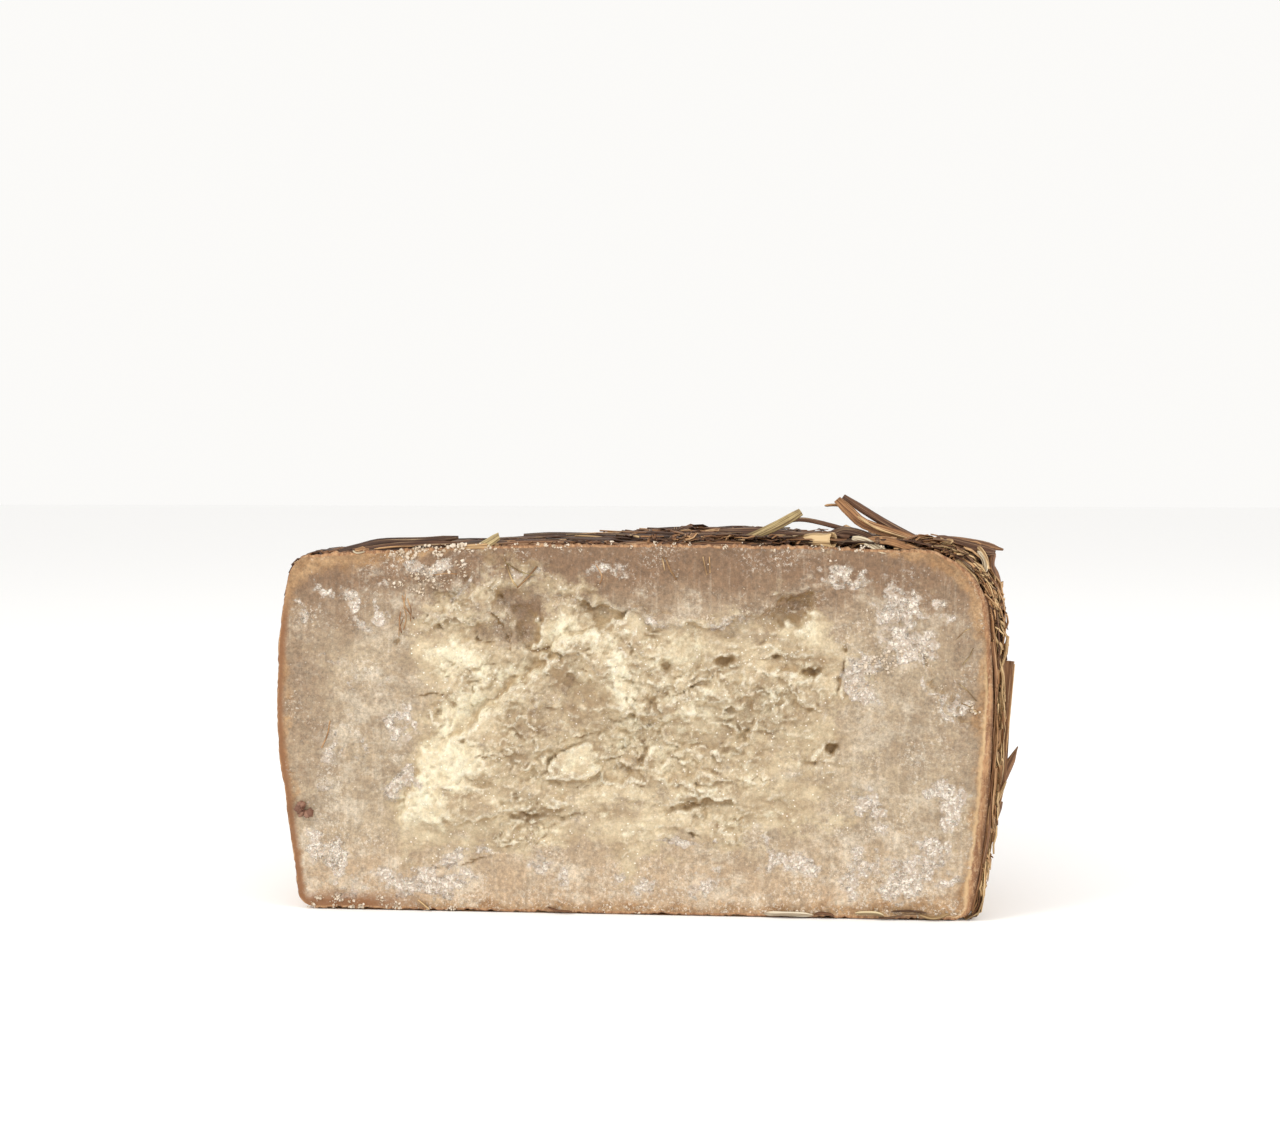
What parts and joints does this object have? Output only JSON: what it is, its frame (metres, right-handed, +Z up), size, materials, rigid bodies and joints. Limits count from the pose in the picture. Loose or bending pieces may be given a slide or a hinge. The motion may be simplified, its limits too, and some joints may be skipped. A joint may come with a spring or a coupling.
{
  "type": "half wheel of hay-aged pecorino cheese",
  "caption": "Half a wheel of hard sheep's-milk cheese, split through the middle, with a knife-cut border, a craggy broken centre and hay stems pressed into its rind.",
  "frame": {"origin": "under the middle of the piece's bounding box, on the surface it stands on", "axes": "+Z up out of the domed top; the split face is upright and looks along -Y; the round rind is towards +Y; +X is to the right as one looks at the split face"},
  "size_m": [0.2126, 0.1116, 0.1205],
  "materials": {
    "paste": "matte",
    "rind": "matte",
    "hay": "matte"
  },
  "bodies": {
    "root": {"pecorino": "paste"}
  },
  "joints": []
}
